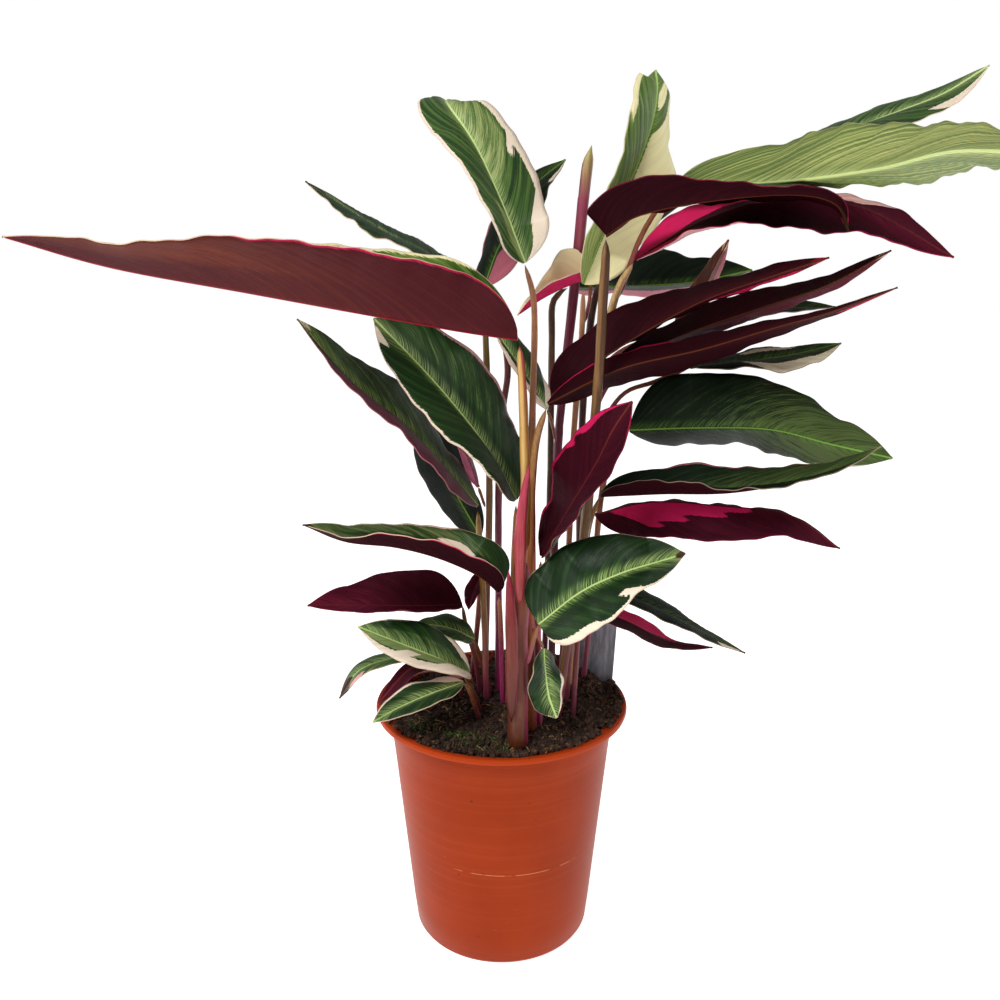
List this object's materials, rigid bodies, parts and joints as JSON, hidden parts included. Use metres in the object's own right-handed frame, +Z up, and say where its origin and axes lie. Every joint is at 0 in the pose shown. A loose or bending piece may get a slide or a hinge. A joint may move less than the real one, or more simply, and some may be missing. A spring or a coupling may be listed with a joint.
{
  "type": "potted stromanthe plant",
  "caption": "Stromanthe prayer plant with cream, green and pink variegated leaves and maroon undersides on thin stalks, growing in a round tapered nursery pot of soil.",
  "frame": {"origin": "centre of the pot's underside, where it rests", "axes": "+Z up, front of the plant towards -Y, +X to the viewer's right"},
  "size_m": [0.5474, 0.3471, 0.5732],
  "materials": {
    "pot_plastic": "satin",
    "potting_soil": "rough, crumbly",
    "label_plastic": "matt",
    "leaf_green": "satin leaf",
    "leaf_dark_green": "satin leaf",
    "leaf_maroon": "matt leaf",
    "leaf_cream": "satin leaf",
    "leaf_pink": "matt leaf",
    "leaf_brown": "matt leaf",
    "stalk_ochre": "satin stalk",
    "stalk_magenta": "satin stalk"
  },
  "bodies": {
    "root": {"pot": "pot_plastic", "soil": "potting_soil", "plant_label": "label_plastic", "cane_front": "stalk_ochre", "sheath_front_lower": "stalk_magenta", "sheath_front_upper": "stalk_magenta", "stalk_far_left": "stalk_ochre", "stalk_fan_lower": "stalk_ochre", "stalk_top_left": "stalk_ochre", "stalk_dark_crown": "stalk_ochre", "stalk_tall_right": "stalk_ochre", "rolled_new_leaf": "stalk_ochre", "stalk_long_maroon": "stalk_ochre", "stalk_back_dark": "stalk_ochre", "stalk_far_right": "stalk_ochre", "stalk_behind_top_left": "stalk_ochre", "stalk_left_behind": "stalk_ochre", "stalk_left_upper": "stalk_ochre", "stalk_left_large": "stalk_ochre", "stalk_left_boat": "stalk_ochre", "stalk_centre_maroon": "stalk_ochre", "leaf_far_left": "leaf_maroon", "leaf_left_behind": "leaf_green", "leaf_top_left": "leaf_green", "leaf_behind_top_left": "leaf_green", "leaf_tall_right": "leaf_cream", "leaf_dark_crown": "leaf_maroon", "leaf_cream_low": "leaf_cream", "leaf_near_right": "leaf_green", "leaf_long_maroon": "leaf_maroon", "leaf_far_right": "leaf_green", "leaf_fan_upper": "leaf_maroon", "leaf_fan_middle": "leaf_maroon", "leaf_fan_lower": "leaf_maroon", "leaf_striped": "leaf_brown", "leaf_back_dark": "leaf_dark_green", "leaf_right_cream": "leaf_green", "leaf_behind_fan": "leaf_dark_green", "leaf_large_right": "leaf_green", "leaf_long_right": "leaf_green", "leaf_hot_pink": "leaf_pink", "leaf_centre_maroon": "leaf_maroon", "leaf_front": "leaf_green", "leaf_hanging": "leaf_green", "leaf_low_right": "leaf_dark_green", "leaf_low_maroon": "leaf_maroon", "leaf_left_boat": "leaf_green", "leaf_left_maroon": "leaf_maroon", "leaf_small_maroon": "leaf_maroon", "leaf_left_small_green": "leaf_green", "leaf_left_variegated": "leaf_green", "leaf_left_drooping": "leaf_green", "leaf_lower_left": "leaf_green", "leaf_lower_left_folded": "leaf_maroon", "leaf_left_upper": "leaf_dark_green", "leaf_left_large": "leaf_green", "leaf_left_shadow": "leaf_dark_green", "leaf_pink_strip": "leaf_pink", "leaf_behind_stalks": "leaf_green"}
  },
  "joints": []
}
